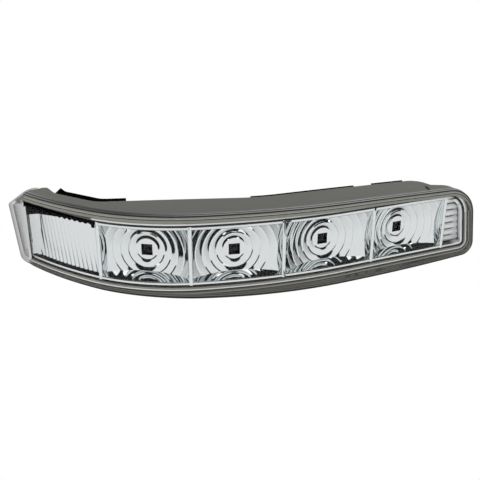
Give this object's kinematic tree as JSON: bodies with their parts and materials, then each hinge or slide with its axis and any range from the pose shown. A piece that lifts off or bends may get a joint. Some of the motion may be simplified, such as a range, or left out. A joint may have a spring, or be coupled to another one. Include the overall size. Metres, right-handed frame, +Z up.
{
  "type": "vehicle indicator lamp",
  "caption": "Curved door-mirror indicator lamp with a clear wrap-round lens, ringed reflector cells, a moulded grey housing, rear screw bosses and a connector collar.",
  "frame": {"origin": "centre of the mouth of the middle screw boss on the back of the lamp", "axes": "+X along the lamp to the viewer's right when its lens is looked at; +Y rearwards, out of the boss; +Z up"},
  "size_m": [0.2086, 0.0697, 0.0352],
  "materials": {
    "clear_lens": "clear polycarbonate, polished",
    "grey_moulding": "moulded, satin",
    "bright_moulding": "vacuum-metallised bright",
    "circuit_film": "satin film",
    "spreader_metal": "rolled",
    "led_body": "glossy",
    "component_black": "matt",
    "circuit_board": "satin",
    "capacitor_can": "drawn",
    "terminal_metal": "tin plated",
    "screw_steel": "zinc plated",
    "vent_film": "matt",
    "black_foam": "open-cell foam"
  },
  "bodies": {
    "root": {"lens": "clear_lens", "housing": "grey_moulding", "reflector": "bright_moulding", "flex_circuit": "circuit_film", "heat_spreader_1": "spreader_metal", "heat_spreader_2": "spreader_metal", "heat_spreader_3": "spreader_metal", "heat_spreader_4": "spreader_metal", "led_1": "led_body", "led_2": "led_body", "led_3": "led_body", "led_4": "led_body", "ballast_resistors": "component_black", "driver_board": "circuit_board", "driver_chip": "component_black", "input_capacitor": "capacitor_can", "protection_diode": "component_black", "link_header": "component_black", "terminal_pins": "terminal_metal", "board_screws": "screw_steel", "vent_membrane": "vent_film", "foam_left": "black_foam", "foam_middle": "black_foam", "foam_right": "black_foam"}
  },
  "joints": []
}
